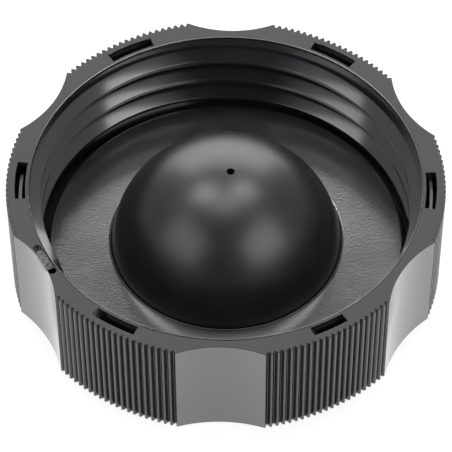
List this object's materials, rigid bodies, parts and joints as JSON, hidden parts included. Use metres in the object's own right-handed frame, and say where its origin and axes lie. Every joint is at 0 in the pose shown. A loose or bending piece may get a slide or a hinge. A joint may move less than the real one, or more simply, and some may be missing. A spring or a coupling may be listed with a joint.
{
  "type": "diesel exhaust fluid filler cap",
  "caption": "Round screw cap with a fluted, ribbed grip, a coarse internal thread, a flat seal ring and a domed vent hood with a pinhole.",
  "frame": {"origin": "centre of the closed face, on the axis of the cap", "axes": "+Z along the axis towards the open mouth, -Y through the middle of one finger flute"},
  "size_m": [0.09, 0.0882, 0.0294],
  "materials": {
    "body_plastic": "moulded black plastic, satin outside, glossier thread",
    "lid_plastic": "moulded black plastic, fine satin",
    "seal_rubber": "moulded black rubber with a faint bloom",
    "hood_plastic": "moulded black plastic, fine satin",
    "valve_rubber": "soft moulded rubber"
  },
  "bodies": {
    "root": {"cap_body": "body_plastic", "snap_lid": "lid_plastic", "seal_ring": "seal_rubber", "vent_hood": "hood_plastic", "vent_valve": "valve_rubber"}
  },
  "joints": []
}
